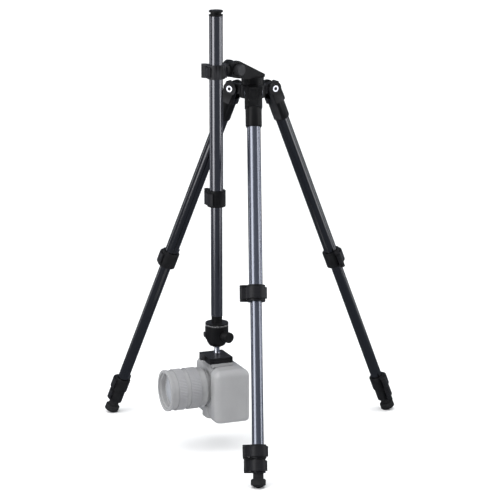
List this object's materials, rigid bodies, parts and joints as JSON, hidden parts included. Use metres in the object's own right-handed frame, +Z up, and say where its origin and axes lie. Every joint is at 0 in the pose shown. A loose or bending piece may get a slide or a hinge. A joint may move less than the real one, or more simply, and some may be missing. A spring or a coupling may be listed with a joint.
{
  "type": "camera on travel tripod",
  "caption": "Travel tripod with flip-lock legs and a swivelling side arm; its inverted column hangs a ball head and an upside-down camera with a lens.",
  "frame": {"origin": "on the floor plane under the centre of the overall bounding box", "axes": "+Z up, floor at Z = 0; the front leg points along -Y and the lens looks towards -X, turned 20 degrees to -Y"},
  "size_m": [0.569, 0.502, 0.823],
  "materials": {
    "leg_tube": "blue-grey anodised",
    "column_tube": "dark anodised",
    "foot_rubber": "matte",
    "lever_plastic": "fine texture",
    "axle_chrome": "polished",
    "ball_chrome": "polished",
    "lens_glass": "coated",
    "plate_alloy": "satin",
    "camera_shell": "pale grey satin",
    "black_casting": "satin powder coat",
    "black_plastic": "satin"
  },
  "bodies": {
    "hub": {"hub": "black_casting", "leg_axles": "axle_chrome"},
    "turntable": {"turntable": "black_casting"},
    "tilt_knob": {"tilt_knob": "black_plastic"},
    "arm": {"arm_neck": "black_casting"},
    "column_clamp": {"column_clamp": "black_casting"},
    "clamp_lever": {"clamp_lever": "lever_plastic"},
    "column_upper": {"column_upper": "column_tube", "column_cap": "black_plastic", "column_collar": "black_plastic"},
    "column_lever": {"column_lever": "lever_plastic"},
    "column_lower": {"column_lower": "column_tube", "head_base": "black_casting"},
    "head_housing": {"head_housing": "black_casting"},
    "main_knob": {"main_knob": "black_plastic"},
    "pan_knob": {"pan_knob": "black_plastic"},
    "ball": {"ball": "ball_chrome", "ball_stem": "ball_chrome", "plate_clamp": "black_casting"},
    "clamp_jaw": {"clamp_jaw": "black_casting"},
    "clamp_knob": {"clamp_knob": "black_plastic"},
    "camera": {"quick_plate": "plate_alloy", "camera_body": "camera_shell", "camera_back": "camera_shell", "lens_barrel": "camera_shell", "front_element": "lens_glass"},
    "zoom_ring": {"zoom_ring": "camera_shell"},
    "focus_ring": {"focus_ring": "camera_shell"},
    "shutter_button": {"shutter_button": "camera_shell"},
    "mode_dial": {"mode_dial": "camera_shell"},
    "front_leg": {"front_yoke": "black_casting", "front_section_1": "leg_tube"},
    "front_angle_tab": {"front_angle_tab": "black_plastic"},
    "front_lever_1": {"front_lever_1": "lever_plastic"},
    "front_section_2": {"front_section_2": "leg_tube"},
    "front_lever_2": {"front_lever_2": "lever_plastic"},
    "front_section_3": {"front_section_3": "leg_tube"},
    "front_lever_3": {"front_lever_3": "lever_plastic"},
    "front_section_4": {"front_section_4": "leg_tube", "front_foot": "foot_rubber"},
    "left_leg": {"left_yoke": "black_casting", "left_section_1": "leg_tube"},
    "left_angle_tab": {"left_angle_tab": "black_plastic"},
    "left_lever_1": {"left_lever_1": "lever_plastic"},
    "left_section_2": {"left_section_2": "leg_tube"},
    "left_lever_2": {"left_lever_2": "lever_plastic"},
    "left_section_3": {"left_section_3": "leg_tube"},
    "left_lever_3": {"left_lever_3": "lever_plastic"},
    "left_section_4": {"left_section_4": "leg_tube", "left_foot": "foot_rubber"},
    "right_leg": {"right_yoke": "black_casting", "right_section_1": "leg_tube"},
    "right_angle_tab": {"right_angle_tab": "black_plastic"},
    "right_lever_1": {"right_lever_1": "lever_plastic"},
    "right_section_2": {"right_section_2": "leg_tube"},
    "right_lever_2": {"right_lever_2": "lever_plastic"},
    "right_section_3": {"right_section_3": "leg_tube"},
    "right_lever_3": {"right_lever_3": "lever_plastic"},
    "right_section_4": {"right_section_4": "leg_tube", "right_foot": "foot_rubber"}
  },
  "joints": [
    {"name": "front_leg_fold", "type": "hinge", "parent": "hub", "child": "front_leg", "pos_m": [0, 0.03525, 0.66604], "axis": [1, 0, 0], "range_deg": [-57.5, 12]},
    {"name": "front_tab_pull", "type": "slide", "parent": "front_leg", "child": "front_angle_tab", "axis": [0, -0.9239, 0.3827], "range_m": [0, 0.0035], "stiffness_N_per_m": 300, "springref_m": -0.001},
    {"name": "front_lever_1_flip", "type": "hinge", "parent": "front_leg", "child": "front_lever_1", "pos_m": [-0.0248, -0.10634, 0.32421], "axis": [0, -0.3827, -0.9239], "range_deg": [0, 110]},
    {"name": "front_section_2_slide", "type": "slide", "parent": "front_leg", "child": "front_section_2", "axis": [0, -0.3827, -0.9239], "range_m": [-0.255, 0.03]},
    {"name": "front_lever_2_flip", "type": "hinge", "parent": "front_section_2", "child": "front_lever_2", "pos_m": [-0.023, -0.21575, 0.06007], "axis": [0, -0.3827, -0.9239], "range_deg": [0, 110]},
    {"name": "front_section_3_slide", "type": "slide", "parent": "front_section_2", "child": "front_section_3", "axis": [0, -0.3827, -0.9239], "range_m": [0, 0.26]},
    {"name": "front_lever_3_flip", "type": "hinge", "parent": "front_section_3", "child": "front_lever_3", "pos_m": [-0.0212, -0.22555, 0.03642], "axis": [0, -0.3827, -0.9239], "range_deg": [0, 110]},
    {"name": "front_section_4_slide", "type": "slide", "parent": "front_section_3", "child": "front_section_4", "axis": [0, -0.3827, -0.9239], "range_m": [0, 0.26]},
    {"name": "left_leg_fold", "type": "hinge", "parent": "hub", "child": "left_leg", "pos_m": [-0.03464, 0.09525, 0.66604], "axis": [-0.5, -0.866, 0], "range_deg": [-57.5, 22]},
    {"name": "left_tab_pull", "type": "slide", "parent": "left_leg", "child": "left_angle_tab", "axis": [-0.8001, 0.4619, 0.3827], "range_m": [0, 0.0035], "stiffness_N_per_m": 300, "springref_m": -0.001},
    {"name": "left_lever_1_flip", "type": "hinge", "parent": "left_leg", "child": "left_lever_1", "pos_m": [-0.14486, 0.18752, 0.32421], "axis": [-0.3314, 0.1913, -0.9239], "range_deg": [0, 110]},
    {"name": "left_section_2_slide", "type": "slide", "parent": "left_leg", "child": "left_section_2", "axis": [-0.3314, 0.1913, -0.9239], "range_m": [-0.255, 0.03]},
    {"name": "left_lever_2_flip", "type": "hinge", "parent": "left_section_2", "child": "left_lever_2", "pos_m": [-0.24052, 0.24067, 0.06007], "axis": [-0.3314, 0.1913, -0.9239], "range_deg": [0, 110]},
    {"name": "left_section_3_slide", "type": "slide", "parent": "left_section_2", "child": "left_section_3", "axis": [-0.3314, 0.1913, -0.9239], "range_m": [0, 0.26]},
    {"name": "left_lever_3_flip", "type": "hinge", "parent": "left_section_3", "child": "left_lever_3", "pos_m": [-0.2499, 0.24401, 0.03642], "axis": [-0.3314, 0.1913, -0.9239], "range_deg": [0, 110]},
    {"name": "left_section_4_slide", "type": "slide", "parent": "left_section_3", "child": "left_section_4", "axis": [-0.3314, 0.1913, -0.9239], "range_m": [0, 0.26]},
    {"name": "right_leg_fold", "type": "hinge", "parent": "hub", "child": "right_leg", "pos_m": [0.03464, 0.09525, 0.66604], "axis": [-0.5, 0.866, 0], "range_deg": [-57.5, 22]},
    {"name": "right_tab_pull", "type": "slide", "parent": "right_leg", "child": "right_angle_tab", "axis": [0.8001, 0.4619, 0.3827], "range_m": [0, 0.0035], "stiffness_N_per_m": 300, "springref_m": -0.001},
    {"name": "right_lever_1_flip", "type": "hinge", "parent": "right_leg", "child": "right_lever_1", "pos_m": [0.16966, 0.14457, 0.32421], "axis": [0.3314, 0.1913, -0.9239], "range_deg": [0, 110]},
    {"name": "right_section_2_slide", "type": "slide", "parent": "right_leg", "child": "right_section_2", "axis": [0.3314, 0.1913, -0.9239], "range_m": [-0.255, 0.03]},
    {"name": "right_lever_2_flip", "type": "hinge", "parent": "right_section_2", "child": "right_lever_2", "pos_m": [0.26351, 0.20083, 0.06007], "axis": [0.3314, 0.1913, -0.9239], "range_deg": [0, 110]},
    {"name": "right_section_3_slide", "type": "slide", "parent": "right_section_2", "child": "right_section_3", "axis": [0.3314, 0.1913, -0.9239], "range_m": [0, 0.26]},
    {"name": "right_lever_3_flip", "type": "hinge", "parent": "right_section_3", "child": "right_lever_3", "pos_m": [0.2711, 0.20729, 0.03642], "axis": [0.3314, 0.1913, -0.9239], "range_deg": [0, 110]},
    {"name": "right_section_4_slide", "type": "slide", "parent": "right_section_3", "child": "right_section_4", "axis": [0.3314, 0.1913, -0.9239], "range_m": [0, 0.26]},
    {"name": "arm_pan", "type": "hinge", "parent": "hub", "child": "turntable", "pos_m": [0, 0.07525, 0.66604], "axis": [0, 0, 1], "range_deg": [-40, 25]},
    {"name": "arm_tilt", "type": "hinge", "parent": "turntable", "child": "arm", "pos_m": [-0.03818, 0.03707, 0.71104], "axis": [-0.7071, 0.7071, 0], "range_deg": [-15, 90]},
    {"name": "tilt_knob_turn", "type": "hinge", "parent": "turntable", "child": "tilt_knob", "pos_m": [-0.03818, 0.03707, 0.71104], "axis": [0.7071, -0.7071, 0], "range_deg": [-180, 180]},
    {"name": "arm_roll", "type": "hinge", "parent": "arm", "child": "column_clamp", "pos_m": [-0.03818, 0.03707, 0.71104], "axis": [-0.7071, -0.7071, 0], "range_deg": [-10, 10]},
    {"name": "clamp_lever_flip", "type": "hinge", "parent": "column_clamp", "child": "clamp_lever", "pos_m": [-0.09069, 0.01792, 0.71104], "axis": [0, 0, -1], "range_deg": [0, 110]},
    {"name": "column_slide", "type": "slide", "parent": "column_clamp", "child": "column_upper", "axis": [0, 0, 1], "range_m": [-0.055, 0.2]},
    {"name": "column_lever_flip", "type": "hinge", "parent": "column_upper", "child": "column_lever", "pos_m": [-0.08613, 0.0242, 0.47604], "axis": [0, 0, -1], "range_deg": [0, 110]},
    {"name": "lower_column_slide", "type": "slide", "parent": "column_upper", "child": "column_lower", "axis": [0, 0, 1], "range_m": [-0.05, 0.2]},
    {"name": "head_pan", "type": "hinge", "parent": "column_lower", "child": "head_housing", "pos_m": [-0.06859, 0.00666, 0.23454], "axis": [0, 0, 1], "continuous": true},
    {"name": "main_knob_turn", "type": "hinge", "parent": "head_housing", "child": "main_knob", "pos_m": [-0.06859, 0.00666, 0.21854], "axis": [0.5736, -0.8192, 0], "range_deg": [-180, 180]},
    {"name": "pan_knob_turn", "type": "hinge", "parent": "head_housing", "child": "pan_knob", "pos_m": [-0.06859, 0.00666, 0.21854], "axis": [-0.9848, -0.1736, 0], "range_deg": [-180, 180]},
    {"name": "ball_tilt", "type": "hinge", "parent": "head_housing", "child": "ball", "pos_m": [-0.06859, 0.00666, 0.20454], "axis": [0.342, -0.9397, 0], "range_deg": [-20, 20]},
    {"name": "jaw_slide", "type": "slide", "parent": "ball", "child": "clamp_jaw", "axis": [-0.9397, -0.342, 0], "range_m": [0, 0.004]},
    {"name": "clamp_knob_turn", "type": "hinge", "parent": "clamp_jaw", "child": "clamp_knob", "pos_m": [-0.08832, -0.00052, 0.17604], "axis": [-0.9397, -0.342, 0], "range_deg": [-180, 180]},
    {"name": "plate_slide", "type": "slide", "parent": "ball", "child": "camera", "axis": [0.342, -0.9397, 0], "range_m": [-0.008, 0.008]},
    {"name": "zoom_turn", "type": "hinge", "parent": "camera", "child": "zoom_ring", "pos_m": [-0.06859, 0.00666, 0.11904], "axis": [-0.9397, -0.342, 0], "range_deg": [-45, 45]},
    {"name": "focus_turn", "type": "hinge", "parent": "camera", "child": "focus_ring", "pos_m": [-0.06859, 0.00666, 0.11904], "axis": [-0.9397, -0.342, 0], "range_deg": [-90, 90]},
    {"name": "shutter_press", "type": "slide", "parent": "camera", "child": "shutter_button", "axis": [0, 0, 1], "range_m": [0, 0.0012], "stiffness_N_per_m": 400, "springref_m": -0.0005},
    {"name": "mode_dial_turn", "type": "hinge", "parent": "camera", "child": "mode_dial", "pos_m": [-0.04825, -0.02584, 0.06504], "axis": [0, 0, 1], "continuous": true}
  ]
}
